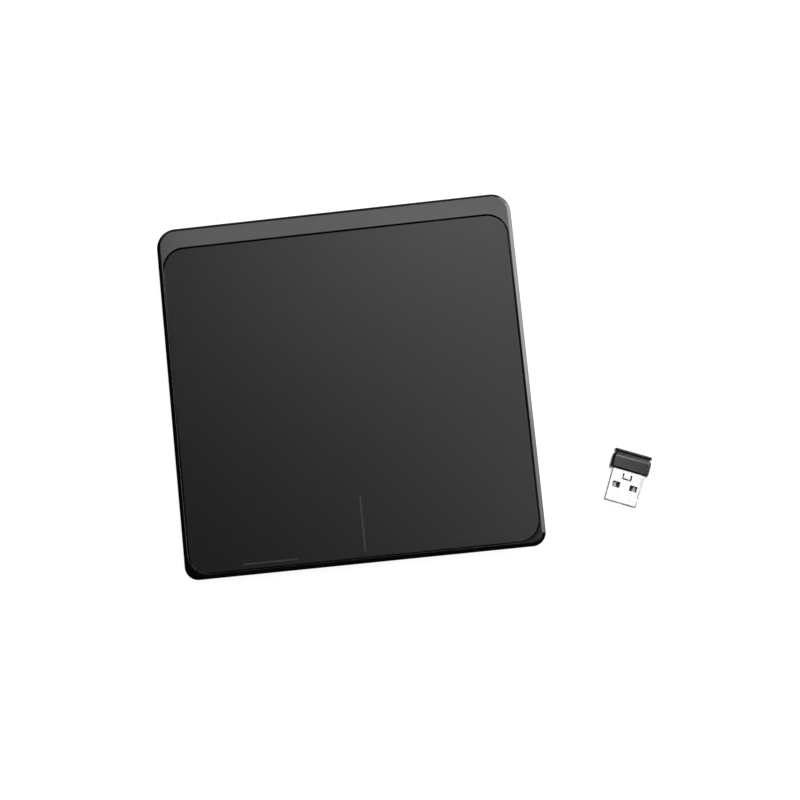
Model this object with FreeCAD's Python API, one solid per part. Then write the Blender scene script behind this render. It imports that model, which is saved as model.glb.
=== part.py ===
import FreeCAD, Part
import math
import os
from FreeCAD import Vector

# Wireless touchpad and its USB receiver, in millimetres.
# +X is to the right, +Y away from the user, +Z up, and height 0 is the desk.
# The pieces of the sloping top are drawn level, with the pad's middle at the origin and its top
# face at height 0. on_slope() tilts them and lifts them to their place. All else is drawn in place.

# Outside of the pad
pad_width = 129.4
pad_depth = 127.6
front_height = 7.2
front_corner = 5.0
rear_corner = 7.0
rim_height = 2.6
rim_round = 0.8
case_inset = 1.0
case_chamfer = 1.6

# Touch plate, its gap and its layers
rail_width = 1.7
groove = 0.42
back_strip = 7.35
plate_corner = 7.4
sheet_thickness = 0.8
sheet_chamfer = 0.25
adhesive_thickness = 0.15
sensor_thickness = 0.6
carrier_thickness = 0.8
sheet_overhang = 2.0
carrier_gap = 0.45
press_travel = 0.5
stop_gap = 0.2

# Walls, feet and fits
wall = 1.6
floor_thickness = 1.2
foot_proud = 0.7
deck_thickness = 1.8
skirt_depth = 1.4
fit_gap = 0.1
slot_gap = 0.1
thin_wall = 1.0

# Hinge
hinge_spread = 40.0
hinge_inset = 5.9
hinge_drop = 4.0
pin_radius = 0.75
pin_press_gap = 0.01
pin_running_gap = 0.05
eye_wall = 0.95
eye_width = 8.0
eye_side_gap = 0.15
arm_thickness = 1.25
arm_reach = 3.0
deck_gap = 0.15
lug_wall = 1.15
lug_width = 2.4

# Cells and their bay
cell_radius = 5.25
cell_length = 44.5
cell_nub_radius = 1.9
cell_nub_length = 0.8
cell_shoulder = 0.5
cell_gap = 0.15
cell_side_gap = 0.4
cell_row_inset = 15.3
contact_room = 2.0
contact_thickness = 0.4
contact_half = 4.0
contact_tip_radius = 1.6
contact_root_radius = 2.6
leaf_half = 3.0
leaf_thickness = 0.3
tab_reach = 3.5
tab_height = 1.2
bay_wall = 1.2
bay_end_wall = 1.4
bay_roof = 0.6
plate_gap = 0.31

# Battery door
door_side_lap = 0.5
door_front_gap = 1.05
door_tongue = 1.0
door_tongue_height = 0.5
door_edge_rib = 1.9
door_deck = 1.1
grip_count = 3
grip_pitch = 1.6
grip_width = 0.7
grip_depth = 0.3
grip_length = 14.0
grip_inset = 4.0

# Leads from the contacts to the main board
lead_radius = 0.5
lead_gap = 0.05
clip_setbacks = (13.0, 33.0)
clip_width = 3.0
clip_thickness = 1.6
clip_height = 1.4

# Main board
board_side_lap = 0.4
board_front_inset = 6.8
board_depth = 37.0
board_gap = 0.7
board_thickness = 0.8
post_side_inset = 4.0
front_post_x = 20.0
post_radius = 2.0
post_pin_radius = 0.9
post_head_radius = 1.6
post_head_height = 0.5

# Tact switches
click_side_inset = 10.0
click_setback = 11.0
click_body = 6.0
click_body_height = 1.5
click_floor = 0.3
plunger_radius = 1.5
plunger_proud = 0.6
plunger_spare = 0.1
plunger_running_gap = 0.05
plunger_top_gap = 0.05
press_pad_radius = 2.2

# Main board parts, placed from the middle of the board
shield_place = (-8.0, 0.5)
shield_size = (14.0, 10.0, 1.8)
shield_chamfer = 0.3
chip_place = (14.0, -1.5)
chip_size = (9.0, 9.0, 1.0)
chip_chamfer = 0.2
capacitor_places = ((23.0, 1.5), (23.0, -1.5), (23.0, -4.5), (4.0, -6.5), (7.0, -8.5))
capacitor_size = (1.6, 0.8, 0.8)
crystal_place = (5.0, 4.5)
crystal_size = (3.2, 2.5, 0.8)
coil_place = (26.0, 7.5)
coil_radius = 2.5
coil_height = 1.8

# Ribbon cable and its two connectors
ribbon_x = 0.0
ribbon_width = 12.0
ribbon_thickness = 0.3
ribbon_reach = 32.0
ribbon_bite = 1.6
socket_length = 15.0
socket_depth = 4.5
board_socket_inset = 3.5
board_socket_height = 2.0
sensor_socket_setback = 22.0
sensor_socket_height = 2.4
sensor_slot_drop = 1.45
ribbon_grip_gap = 0.05
ribbon_free_gap = 0.35
window_gap = 1.0

# Power switch
power_place = (-22.0, 5.5)
power_body = (8.0, 4.0)
power_body_height = 3.2
power_tab = 0.8
power_tab_thickness = 0.3
power_travel = 2.5
power_lift = 0.05
knob_size = (2.6, 2.2)
knob_stem = 1.4
knob_head = 2.2
knob_head_height = 0.5
knob_neck_height = 0.5
knob_inset = 0.1
knob_recess = (10.0, 5.0, 0.4)

# Receiver pocket, label recess and rear screws
pocket_place = (28.0, 12.0)
pocket_size = (19.9, 15.0, 7.0)
label_place = (-20.0, 8.0)
label_size = (46.0, 24.0, 0.2)
label_corner = 2.0
screw_inset = 3.2
screw_radius = 1.0
screw_length = 10.0
screw_thread_gap = 0.03
screw_clearance = 0.15
screw_head_radius = 1.9
screw_head_height = 1.2
screw_head_gap = 0.3
screw_seat = 3.0
screw_tip_room = 0.6
tube_wall = 1.2
tube_top = 9.0
cross_width = 0.5
cross_length = 2.2
cross_depth = 0.6

# Catches at the front of the cover
catch_x = 30.0
catch_width = 8.0
catch_reach = 0.45
catch_height = 0.6
catch_lift = 0.2

# Rubber feet
foot_sink = 0.5
foot_corner = 1.5
front_foot_inset = (16.7, 10.3)
front_foot_size = (16.0, 7.0)
rear_foot_inset = 16.8
rear_foot_size = (6.6, 14.0)

# Receiver
receiver_x = 99.2
receiver_y = -33.8
receiver_turn = 22.2
cap_length = 7.2
cap_half = 7.1
cap_height = 6.3
cap_corner = 1.5
cap_edge = 0.35
flange_length = 1.1
flange_inset = 0.2
neck_length = 0.8
neck_inset = 0.65
cap_end_wall = 0.9
plug_length = 18.7
shell_half = 6.0
shell_height = 4.5
shell_wall = 0.3
shell_corner = 0.7
shell_seat = 3.2
shell_gap = 0.05
window_half_spread = 3.1
window_width = 2.6
window_length = 2.1
window_from_end = 5.95
cut_width = 3.4
cut_length = 2.1
cut_line = 0.5
cut_from_end = 9.3
tongue_height = 1.95
tongue_gap = 0.05
tongue_inset = 0.3
tongue_rear = 7.0
stick_half = 5.0
stick_board_thickness = 0.8
strip_width = 1.0
strip_thickness = 0.15
strip_spread = (-3.5, -1.0, 1.0, 3.5)
strip_front_inset = 1.0
strip_overlap = 1.0
stick_chip = 3.6
stick_chip_height = 0.9

# The slope that lets the carrier plate pass above the cell bay, and what follows from it
stack = sheet_thickness + adhesive_thickness + sensor_thickness + carrier_thickness
floor_top = foot_proud + floor_thickness
cell_row_y = pad_depth / 2 - cell_row_inset
door_top = floor_top
cell_z = door_top + cell_gap + cell_radius
bay_half = cell_length + contact_room
bay_front = cell_row_y - cell_radius - cell_side_gap
bay_rear = cell_row_y + cell_radius + cell_side_gap
bay_top = cell_z + cell_radius + cell_gap
carrier_floor = bay_top + bay_roof + plate_gap
slope_sine = (carrier_floor + stack - front_height) / (pad_depth / 2 + bay_front - bay_wall)
slope = math.asin(slope_sine)
mid_height = front_height + pad_depth / 2 * slope_sine

plate_half = pad_width / 2 - rail_width - groove
plate_front = -pad_depth / 2 + rail_width + groove
plate_rear = pad_depth / 2 - back_strip - groove
carrier_half = plate_half - sheet_overhang
carrier_front = plate_front + sheet_overhang
carrier_rear = plate_rear - sheet_overhang
carrier_corner = plate_corner - sheet_overhang
step_drop = sheet_thickness + press_travel + stop_gap
skirt_inset = rail_width + groove + sheet_overhang - carrier_gap
hinge_v = pad_depth / 2 - hinge_inset
press_angle = press_travel / (hinge_v - plate_front)

case_centre = rim_height * math.sin(slope)
case_half = pad_width / 2 - case_inset
case_reach = pad_depth / 2 * math.cos(slope) - case_inset
side_room = case_half - wall
board_bottom = floor_top + board_gap
board_top = board_bottom + board_thickness
door_front = bay_front - bay_wall - door_front_gap
door_half = bay_half + door_side_lap
door_edge = door_half + door_tongue + slot_gap
door_lip = floor_thickness - door_tongue_height - slot_gap
screw_x = (door_edge + side_room) / 2
screw_y = case_centre + case_reach - wall - screw_inset
lead_x = bay_half - contact_thickness - lead_radius
board_half = lead_x + board_side_lap
board_front = -pad_depth / 2 + board_front_inset
board_rear = board_front + board_depth
board_middle = (board_front + board_rear) / 2
board_socket_y = board_rear - board_socket_inset
sensor_socket_v = board_rear + sensor_socket_setback
ribbon_turn_y = board_rear + ribbon_reach
click_x = board_half - click_side_inset
click_y = board_front + click_setback
power_x = power_place[0]
power_y = board_middle + power_place[1]
lead_z = board_top + lead_radius
plunger_top = board_top + click_body_height + plunger_proud
shell_z = (cap_height - shell_height) / 2
board_slot_z = board_top + board_socket_height / 2
far_side = pad_width

set_right = receiver_x + (cap_half - flange_inset) * math.cos(math.radians(receiver_turn))
set_shift = (pad_width / 2 - set_right) / 2


def block(x0, x1, y0, y1, z0, z1):
    return Part.makeBox(x1 - x0, y1 - y0, z1 - z0, Vector(x0, y0, z0))


def centred_block(place, size, z0):
    half_x = size[0] / 2
    half_y = size[1] / 2
    return block(place[0] - half_x, place[0] + half_x, place[1] - half_y, place[1] + half_y, z0, z0 + size[2])


def on_board(place, size):
    """A part that stands on the main board, placed from the board's middle."""
    return centred_block((place[0], board_middle + place[1]), size, board_top)


def upright(radius, x, y, z0, z1):
    return Part.makeCylinder(radius, z1 - z0, Vector(x, y, z0))


def crossways(radius, x0, x1, y, z):
    return Part.makeCylinder(radius, x1 - x0, Vector(x0, y, z), Vector(1, 0, 0))


def corner_arc(centre_x, centre_y, radius, first_degrees, z):
    """A quarter round that starts at the given angle and turns anticlockwise."""
    points = []
    for step in range(3):
        angle = math.radians(first_degrees + 45 * step)
        points.append(Vector(centre_x + radius * math.cos(angle), centre_y + radius * math.sin(angle), z))
    return Part.Arc(*points).toShape()


def rounded_slab(half, front, rear, front_radius, rear_radius, z0, z1):
    """A slab with round corners, from the front to the rear line, half as wide as its first size says."""
    arcs = [
        corner_arc(-half + front_radius, front + front_radius, front_radius, 180, z0),
        corner_arc(half - front_radius, front + front_radius, front_radius, 270, z0),
        corner_arc(half - rear_radius, rear - rear_radius, rear_radius, 0, z0),
        corner_arc(-half + rear_radius, rear - rear_radius, rear_radius, 90, z0),
    ]
    edges = []
    for index, arc in enumerate(arcs):
        following = arcs[(index + 1) % len(arcs)]
        edges.append(arc)
        edges.append(Part.LineSegment(arc.Vertexes[-1].Point, following.Vertexes[0].Point).toShape())
    return Part.Face(Part.Wire(edges)).extrude(Vector(0, 0, z1 - z0))


def round_post(place, size, corner, z0, z1):
    """A slab with four equal corners about a point."""
    slab = rounded_slab(size[0] / 2, -size[1] / 2, size[1] / 2, corner, corner, z0, z1)
    slab.translate(Vector(place[0], place[1], 0))
    return slab


def level_edges(shape, z):
    """The edges that lie all along one height."""
    tolerance = 1e-6
    return [edge for edge in shape.Edges if all(abs(v.Z - z) < tolerance for v in edge.Vertexes)]


def on_slope(shape):
    placed = shape.copy()
    placed.rotate(Vector(0, 0, 0), Vector(1, 0, 0), math.degrees(slope))
    placed.translate(Vector(0, 0, mid_height))
    return placed


def slope_layer(low, high):
    """Everything between two levels of the sloping top, measured from its face."""
    return on_slope(block(-far_side, far_side, -far_side, far_side, low, high))


def slope_height(y, level):
    """How high above the desk a level of the sloping top lies at y."""
    return mid_height + y * math.tan(slope) + level / math.cos(slope)


def fused(first, *others):
    return first.fuse(list(others)).removeSplitter()


def cut_out(shape, *tools):
    return shape.cut(list(tools))


def both_sides(make):
    """The same piece made on the left and on the right."""
    return [make(-1), make(1)]


def hinge_stations():
    return (-hinge_spread, hinge_spread)


def hinge_lug(start):
    """One ear under the back strip that holds a hinge pin."""
    radius = pin_radius + lug_wall
    ear = block(start, start + lug_width, hinge_v - radius, hinge_v + radius, -hinge_drop, -step_drop)
    bore = crossways(pin_radius + pin_press_gap, start, start + lug_width, hinge_v, -hinge_drop)
    return ear.fuse(crossways(radius, start, start + lug_width, hinge_v, -hinge_drop)).cut(bore)


def lug_starts(station):
    inner = eye_width / 2 + eye_side_gap
    return (station - inner - lug_width, station + inner)


def case_ring(inset_outer, inset_inner):
    """An upright ring inside the case wall, as high as the pad."""
    def slab(inset):
        return rounded_slab(
            pad_width / 2 - inset,
            case_centre - case_reach - case_inset + inset,
            case_centre + case_reach + case_inset - inset,
            max(front_corner - inset, thin_wall),
            max(rear_corner - inset, thin_wall),
            0,
            2 * mid_height,
        )
    return slab(inset_outer).cut(slab(inset_inner))


def catch(side, grow):
    """A catch on the cover's front skirt, or with grow the slot that it snaps into."""
    face = case_centre - case_reach + wall + fit_gap
    low = slope_height(face, -rim_height - skirt_depth) + catch_lift
    half = catch_width / 2 + grow
    return block(side * catch_x - half, side * catch_x + half, face - catch_reach - grow,
                 face + grow / 2, low - grow, low + catch_height + grow)


def screw_boss(side):
    """A boss under the cover that a case screw bites into."""
    boss = upright(screw_radius + tube_wall, side * screw_x, screw_y, tube_top, 2 * mid_height)
    return boss.common(slope_layer(-far_side, -step_drop))


def screw_pilot(side):
    """The boss's hole, a little deeper than the screw's tip reaches."""
    tip = screw_seat + screw_length
    return upright(screw_radius + screw_thread_gap, side * screw_x, screw_y, tube_top, tip + screw_tip_room)


def top_cover():
    """The frame round the touch plate, with the back strip over the hinge."""
    rear = pad_depth / 2
    body = rounded_slab(pad_width / 2, -rear, rear, front_corner, rear_corner, -rim_height, 0)
    body = body.makeFillet(rim_round, level_edges(body, 0))
    opening_corner = plate_corner + groove
    opening = rounded_slab(plate_half + groove, plate_front - groove, plate_rear + groove,
                           opening_corner, opening_corner, -step_drop, rim_height)
    inner_half = pad_width / 2 - skirt_inset
    inner_front = -rear + skirt_inset
    inner_rear = rear - case_inset - wall - fit_gap - thin_wall
    below = rounded_slab(inner_half, inner_front, plate_rear + groove, carrier_corner, thin_wall,
                         -2 * rim_height, -step_drop)
    under_deck = rounded_slab(inner_half, plate_front, inner_rear, thin_wall, thin_wall,
                              -2 * rim_height, -deck_thickness)
    body = on_slope(cut_out(body, opening, below, under_deck))
    skirt = case_ring(case_inset + wall + fit_gap, skirt_inset)
    skirt = skirt.common(slope_layer(-rim_height - skirt_depth, -rim_height + fit_gap))
    lugs = []
    for station in hinge_stations():
        lugs += [on_slope(hinge_lug(start)) for start in lug_starts(station)]
    catches = both_sides(lambda side: catch(side, 0))
    cover = fused(body, skirt, *lugs, *both_sides(screw_boss), *catches)
    return cut_out(cover, *both_sides(screw_pilot))


def plate_layer(top, thickness):
    return rounded_slab(carrier_half, carrier_front, carrier_rear, carrier_corner, carrier_corner,
                        -top - thickness, -top)


def touch_sheet():
    sheet = rounded_slab(plate_half, plate_front, plate_rear, plate_corner, plate_corner, -sheet_thickness, 0)
    return on_slope(sheet.makeChamfer(sheet_chamfer, level_edges(sheet, 0)))


def sheet_adhesive():
    return on_slope(plate_layer(sheet_thickness, adhesive_thickness))


def sensor_board():
    return on_slope(plate_layer(sheet_thickness + adhesive_thickness, sensor_thickness))


def carrier_arm(station):
    """An arm under the carrier's rear edge that ends in the eye for a hinge pin."""
    start = station - eye_width / 2
    end = station + eye_width / 2
    top = -deck_thickness - deck_gap
    radius = pin_radius + eye_wall
    arm = block(start, end, carrier_rear - arm_reach, hinge_v, top - arm_thickness, top)
    web = block(start, end, hinge_v - radius, hinge_v, -hinge_drop, top)
    eye = crossways(radius, start, end, hinge_v, -hinge_drop)
    bore = crossways(pin_radius + pin_running_gap, start, end, hinge_v, -hinge_drop)
    return arm.fuse([web, eye]).cut(bore)


def carrier_plate():
    """The metal plate under the sensor board, with two hinge arms and two press pads."""
    window = block(ribbon_x - socket_length / 2 - window_gap, ribbon_x + socket_length / 2 + window_gap,
                   sensor_socket_v - window_gap, sensor_socket_v + socket_depth + window_gap, -stack, 0)
    plate = cut_out(plate_layer(stack - carrier_thickness, carrier_thickness), window)
    arms = [on_slope(carrier_arm(station)) for station in hinge_stations()]
    pads = both_sides(lambda side: upright(press_pad_radius, side * click_x, click_y,
                                           plunger_top + plunger_top_gap, mid_height))
    pad_room = slope_layer(-far_side, -stack + carrier_thickness / 2)
    return fused(on_slope(plate), *arms, *[pad.common(pad_room) for pad in pads])


def hinge_pins():
    reach = eye_width / 2 + eye_side_gap + lug_width
    pins = [crossways(pin_radius, station - reach, station + reach, hinge_v, -hinge_drop)
            for station in hinge_stations()]
    return Part.makeCompound([on_slope(pin) for pin in pins])


def sensor_socket():
    """The connector on the sensor board that takes the free end of the ribbon cable."""
    top = -sheet_thickness - adhesive_thickness - sensor_thickness
    body = block(ribbon_x - socket_length / 2, ribbon_x + socket_length / 2,
                 sensor_socket_v, sensor_socket_v + socket_depth, top - sensor_socket_height, top)
    half = ribbon_width / 2 + ribbon_free_gap
    slot_middle = top - sensor_slot_drop
    slot_half = ribbon_thickness / 2 + ribbon_free_gap
    mouth = block(ribbon_x - half, ribbon_x + half, sensor_socket_v + socket_depth - 2 * ribbon_bite,
                  sensor_socket_v + socket_depth, slot_middle - slot_half, slot_middle + slot_half)
    return on_slope(body.cut(mouth))


def board_socket():
    """The connector on the main board that grips the fixed end of the ribbon cable."""
    size = (socket_length, socket_depth, board_socket_height)
    body = centred_block((ribbon_x, board_socket_y), size, board_top)
    half = ribbon_width / 2 + ribbon_grip_gap
    rear = board_socket_y + socket_depth / 2
    slot_half = ribbon_thickness / 2 + ribbon_grip_gap
    mouth = block(ribbon_x - half, ribbon_x + half, rear - 2 * ribbon_bite, rear,
                  board_slot_z - slot_half, board_slot_z + slot_half)
    return body.cut(mouth)


def ribbon_cable():
    """A flat cable that leaves the main board backwards and folds over into the sensor board's socket."""
    top_level = -sheet_thickness - adhesive_thickness - sensor_thickness - sensor_slot_drop
    cosine = math.cos(slope)
    half_turn = (math.cos(slope / 2), math.sin(slope / 2))
    rise = (mid_height - board_slot_z) * cosine
    bend = (top_level + ribbon_turn_y * slope_sine + rise) / (1 + cosine)
    centre_z = board_slot_z + bend
    start_y = board_socket_y + socket_depth / 2 - ribbon_bite
    end_v = sensor_socket_v + socket_depth - ribbon_bite
    run = ribbon_turn_y * cosine + (centre_z - mid_height) * slope_sine - end_v

    def side(offset):
        radius = bend + offset
        foot = Vector(ribbon_x - ribbon_width / 2, ribbon_turn_y, centre_z - radius)
        nose = Vector(foot.x, ribbon_turn_y + radius * half_turn[0], centre_z + radius * half_turn[1])
        head = Vector(foot.x, ribbon_turn_y - radius * slope_sine, centre_z + radius * cosine)
        back = Vector(foot.x, start_y, foot.z)
        tip = head + Vector(0, -run * cosine, -run * slope_sine)
        return back, foot, nose, head, tip

    outer = side(ribbon_thickness / 2)
    inner = side(-ribbon_thickness / 2)
    edges = [
        Part.LineSegment(outer[0], outer[1]).toShape(),
        Part.Arc(outer[1], outer[2], outer[3]).toShape(),
        Part.LineSegment(outer[3], outer[4]).toShape(),
        Part.LineSegment(outer[4], inner[4]).toShape(),
        Part.LineSegment(inner[4], inner[3]).toShape(),
        Part.Arc(inner[3], inner[2], inner[1]).toShape(),
        Part.LineSegment(inner[1], inner[0]).toShape(),
        Part.LineSegment(inner[0], outer[0]).toShape(),
    ]
    return Part.Face(Part.Wire(edges)).extrude(Vector(ribbon_width, 0, 0))


def post_places():
    """The two front posts and the two at the rear corners of the board."""
    front = board_front + post_side_inset
    rear = board_rear - post_side_inset
    side = board_half - post_side_inset
    return ((-side, rear), (side, rear), (-front_post_x, front), (front_post_x, front))


def main_board():
    board = block(-board_half, board_half, board_front, board_rear, board_bottom, board_top)
    holes = [upright(post_pin_radius + fit_gap, x, y, board_bottom, board_top) for x, y in post_places()]
    opening = (power_body[0] + 2 * fit_gap, power_body[1] + 2 * fit_gap, board_thickness)
    return cut_out(board, centred_block((power_x, power_y), opening, board_bottom), *holes)


def radio_shield():
    can = on_board(shield_place, shield_size)
    return can.makeChamfer(shield_chamfer, level_edges(can, board_top + shield_size[2]))


def controller_chip():
    chip = on_board(chip_place, chip_size)
    return chip.makeChamfer(chip_chamfer, level_edges(chip, board_top + chip_size[2]))


def board_parts():
    """Capacitors, a crystal and a coil on the main board."""
    parts = [on_board(place, capacitor_size) for place in capacitor_places]
    parts.append(on_board(crystal_place, crystal_size))
    coil_y = board_middle + coil_place[1]
    parts.append(upright(coil_radius, coil_place[0], coil_y, board_top, board_top + coil_height))
    return Part.makeCompound(parts)


def switch_body(side):
    """A tact switch on the main board, open at the top for its plunger."""
    body = centred_block((side * click_x, click_y), (click_body, click_body, click_body_height), board_top)
    bore = upright(plunger_radius + plunger_running_gap, side * click_x, click_y,
                   board_top + click_floor, board_top + click_body_height)
    return body.cut(bore)


def plunger(side):
    """A tact switch's plunger, with room below it for the whole press."""
    lever = hinge_v * math.cos(slope) + hinge_drop * slope_sine - click_y
    foot = board_top + click_floor + lever * press_angle + plunger_spare
    return upright(plunger_radius, side * click_x, click_y, foot, plunger_top)


def power_switch_body():
    """A slide switch let into the main board. Its tabs lie on the board."""
    bottom = floor_top + power_lift
    body = centred_block((power_x, power_y), (*power_body, power_body_height), bottom)
    tab_size = (power_body[0] + 2 * power_tab, power_body[1] / 2, power_tab_thickness)
    tabs = centred_block((power_x, power_y), tab_size, board_top)
    neck_size = (knob_stem + power_travel + 2 * slot_gap, knob_stem + 2 * slot_gap, knob_neck_height)
    head_size = (knob_head + power_travel + 2 * slot_gap, knob_head + 2 * slot_gap,
                 knob_head_height + 2 * slot_gap)
    neck = centred_block((power_x, power_y), neck_size, bottom)
    room = centred_block((power_x, power_y), head_size, bottom + knob_neck_height)
    return cut_out(fused(body, tabs), neck, room)


def power_knob():
    """The power switch's knob at its left end, with a ribbed grip that shows in the underside."""
    place = (power_x - power_travel / 2, power_y)
    grip_bottom = foot_proud + knob_inset
    head_bottom = floor_top + power_lift + knob_neck_height + slot_gap
    grip = centred_block(place, (*knob_size, floor_top - grip_bottom), grip_bottom)
    stem = centred_block(place, (knob_stem, knob_stem, head_bottom - floor_top), floor_top)
    head = centred_block(place, (knob_head, knob_head, knob_head_height), head_bottom)
    knob = fused(grip, stem, head)
    ridge = knob_size[0] / 5
    notch = (ridge / 2, knob_size[1], ridge / 2)
    notches = [centred_block((place[0] + step * ridge, place[1]), notch, grip_bottom) for step in (-1, 0, 1)]
    return cut_out(knob, *notches)


def battery_cell(start):
    """An AAA cell that lies across the pad with its nub to the right."""
    barrel_end = start + cell_length - cell_nub_length
    wide_end = barrel_end - cell_shoulder
    barrel = crossways(cell_radius, start, wide_end, cell_row_y, cell_z)
    shoulder = crossways(cell_radius - cell_shoulder, wide_end, barrel_end, cell_row_y, cell_z)
    nub = crossways(cell_nub_radius, barrel_end, start + cell_length, cell_row_y, cell_z)
    return fused(barrel, shoulder, nub)


def contact_plate(side):
    """A contact's plate on an end wall of the bay, with a tab forwards to its lead."""
    inner = bay_half - contact_thickness
    x0 = min(side * inner, side * bay_half)
    x1 = max(side * inner, side * bay_half)
    plate = block(x0, x1, cell_row_y - contact_half, cell_row_y + contact_half,
                  cell_z - contact_half, cell_z + contact_half)
    tab = block(x0, x1, bay_front - bay_wall - tab_reach, cell_row_y,
                lead_z - tab_height / 2, lead_z + tab_height / 2)
    return plate.fuse(tab)


def positive_contact():
    """The right contact, with a pressed cone that meets the cell's nub."""
    cone = Part.makeCone(contact_tip_radius, contact_root_radius, contact_room - contact_thickness,
                         Vector(cell_length, cell_row_y, cell_z), Vector(1, 0, 0))
    return fused(contact_plate(1), cone)


def negative_contact():
    """The left contact, with a bowed leaf that presses on the cell's base."""
    root = -bay_half + contact_thickness

    def bow(half, reach):
        return [Vector(root, cell_row_y, cell_z - half), Vector(root + reach, cell_row_y, cell_z),
                Vector(root, cell_row_y, cell_z + half)]

    reach = contact_room - contact_thickness
    outer = bow(leaf_half, reach)
    inner = bow(leaf_half - leaf_thickness, reach - leaf_thickness)
    edges = [
        Part.Arc(*outer).toShape(),
        Part.LineSegment(outer[2], inner[2]).toShape(),
        Part.Arc(inner[2], inner[1], inner[0]).toShape(),
        Part.LineSegment(inner[0], outer[0]).toShape(),
    ]
    leaf = Part.Face(Part.Wire(edges)).extrude(Vector(0, 2 * leaf_half, 0))
    leaf.translate(Vector(0, -leaf_half, 0))
    return fused(contact_plate(-1), leaf)


def battery_leads():
    """Two leads that run from the contacts' tabs, through clips on the floor, onto the main board."""
    start = board_rear - 2 * lead_radius
    end = bay_front - bay_wall - fit_gap
    leads = both_sides(lambda side: Part.makeCylinder(lead_radius, end - start,
                                                      Vector(side * lead_x, start, lead_z), Vector(0, 1, 0)))
    return Part.makeCompound(leads)


def door_end():
    return case_centre + case_reach


def battery_door():
    """The door in the underside. Its side tongues run in slots, and its end follows the case's chamfer."""
    rear = door_end()
    rise = case_chamfer - floor_thickness
    profile = [(door_front, foot_proud), (rear - case_chamfer, foot_proud), (rear - rise, door_top),
               (door_front, door_top)]
    points = [Vector(-door_half, y, z) for y, z in profile]
    plate = Part.Face(Part.makePolygon(points + points[:1])).extrude(Vector(2 * door_half, 0, 0))
    tongues = block(-door_half - door_tongue, door_half + door_tongue, door_front,
                    rear - case_chamfer, door_top - door_tongue_height, door_top)
    grips = []
    for index in range(grip_count):
        y = rear - case_chamfer - grip_inset - index * grip_pitch
        grips.append(block(-grip_length / 2, grip_length / 2, y - grip_width, y,
                           foot_proud, foot_proud + grip_depth))
    return cut_out(fused(plate, tongues), *grips)


def foot_places():
    """Each foot's centre and size. The rear ones lie between the door and the case's side."""
    front = (pad_width / 2 - front_foot_inset[0], -pad_depth / 2 + front_foot_inset[1])
    rear = (screw_x, pad_depth / 2 - rear_foot_inset)
    places = []
    for place, size in ((front, front_foot_size), (rear, rear_foot_size)):
        places += both_sides(lambda side: ((side * place[0], place[1]), size))
    return places


def rubber_feet():
    feet = [round_post(place, size, foot_corner, 0, foot_proud + foot_sink) for place, size in foot_places()]
    return Part.makeCompound(feet)


def case_screw(side):
    x = side * screw_x
    shank = upright(screw_radius, x, screw_y, screw_seat, screw_seat + screw_length)
    bottom = screw_seat - screw_head_height
    head = upright(screw_head_radius, x, screw_y, bottom, screw_seat)
    cross = [centred_block((x, screw_y), (cross_length, cross_width, cross_depth), bottom),
             centred_block((x, screw_y), (cross_width, cross_length, cross_depth), bottom)]
    return cut_out(fused(shank, head), *cross)


def case_screws():
    return Part.makeCompound(both_sides(case_screw))


def case_shell():
    """The case's walls and floor, up to the sloping edge that the cover sits on."""
    front = case_centre - case_reach
    rear = case_centre + case_reach
    outer = rounded_slab(case_half, front, rear, front_corner - case_inset, rear_corner - case_inset,
                         foot_proud, 2 * mid_height)
    outer = outer.makeChamfer(case_chamfer, level_edges(outer, foot_proud))
    hollow = rounded_slab(case_half - wall, front + wall, rear - wall,
                          max(front_corner - case_inset - wall, thin_wall),
                          max(rear_corner - case_inset - wall, thin_wall), floor_top, 2 * mid_height)
    return outer.cut(hollow).common(slope_layer(-far_side, -rim_height))


def bay_solids():
    """The cell bay's tub and the thicker floor round the door."""
    tub = block(-bay_half - bay_end_wall, bay_half + bay_end_wall, bay_front - bay_wall, bay_rear + bay_wall,
                floor_top, bay_top + bay_roof)
    edge = door_edge + door_edge_rib
    apron = block(-edge, edge, door_front - door_edge_rib, door_end() - wall,
                  floor_top, floor_top + door_deck)
    return [tub, apron]


def bay_cuts():
    """The room for the cells, the slots for the door and the slots for the contacts' tabs."""
    rear = door_end() + wall
    cells = block(-bay_half, bay_half, bay_front, bay_rear, foot_proud, bay_top)
    half = door_half + slot_gap
    front = door_front - slot_gap
    lower = block(-half, half, front, rear, foot_proud, foot_proud + door_lip)
    upper = block(-half - door_tongue, half + door_tongue, front, rear,
                  foot_proud + door_lip, floor_top + slot_gap)
    tabs = both_sides(lambda side: block(
        min(side * (bay_half - contact_thickness - slot_gap), side * bay_half),
        max(side * (bay_half - contact_thickness - slot_gap), side * bay_half),
        bay_front - bay_wall, bay_front,
        lead_z - tab_height / 2 - slot_gap, lead_z + tab_height / 2 + slot_gap))
    return [cells, lower, upper, *tabs]


def post_solids():
    """Posts that carry the main board, with heads formed over it."""
    solids = []
    for x, y in post_places():
        solids.append(upright(post_radius, x, y, foot_proud + foot_sink, board_bottom))
        solids.append(upright(post_pin_radius, x, y, floor_top, board_top + post_head_height))
        solids.append(upright(post_head_radius, x, y, board_top, board_top + post_head_height))
    return solids


def clip_solids():
    """Clips on the floor that hold the leads."""
    clip_size = (clip_width, clip_thickness, lead_z + clip_height / 2 - floor_top)
    channel_size = (2 * (lead_radius + lead_gap), clip_thickness, mid_height)
    clips = []
    for side in (-1, 1):
        for setback in clip_setbacks:
            place = (side * lead_x, bay_front - setback)
            channel = centred_block(place, channel_size, lead_z - lead_radius)
            clips.append(centred_block(place, clip_size, floor_top).cut(channel))
    return clips


def screw_tube(side):
    """A screw tube at the back of the case, with a wide base for the head's recess."""
    x = side * screw_x
    base_radius = screw_head_radius + screw_head_gap + thin_wall
    base = upright(base_radius, x, screw_y, foot_proud, screw_seat + thin_wall)
    return base.fuse(upright(screw_radius + tube_wall, x, screw_y, foot_proud, tube_top))


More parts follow.
